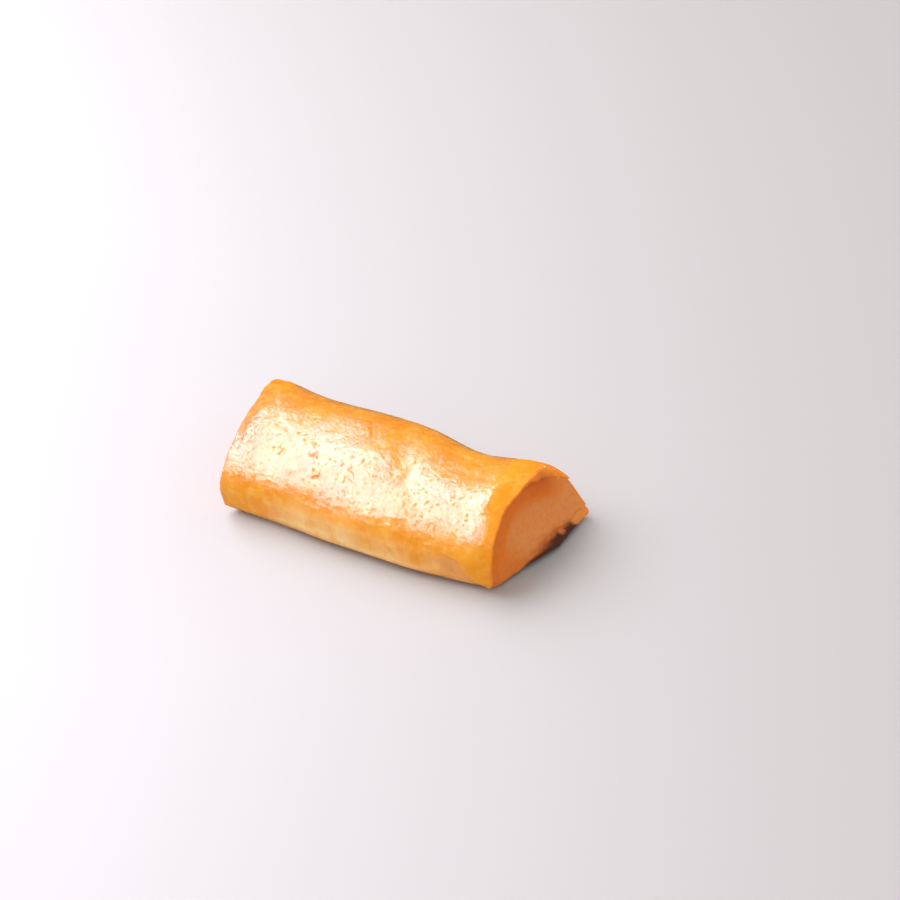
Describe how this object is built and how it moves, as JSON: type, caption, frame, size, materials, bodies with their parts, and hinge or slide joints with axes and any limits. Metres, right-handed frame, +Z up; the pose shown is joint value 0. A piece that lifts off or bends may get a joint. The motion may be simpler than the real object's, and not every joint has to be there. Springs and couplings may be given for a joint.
{
  "type": "spring roll",
  "caption": "Whole fried spring roll: a flattened sleeve of glossy golden pastry whose rims hood the tucked-in, browned ends, lying on its flat underside.",
  "frame": {"origin": "below the middle of the roll's box, on its flat underside", "axes": "+X along the roll towards the end that the picture shows, -Y the front, +Z up"},
  "size_m": [0.1176, 0.0506, 0.0259],
  "materials": {
    "fried_pastry": null
  },
  "bodies": {
    "root": {"spring_roll": "fried_pastry"}
  },
  "joints": []
}
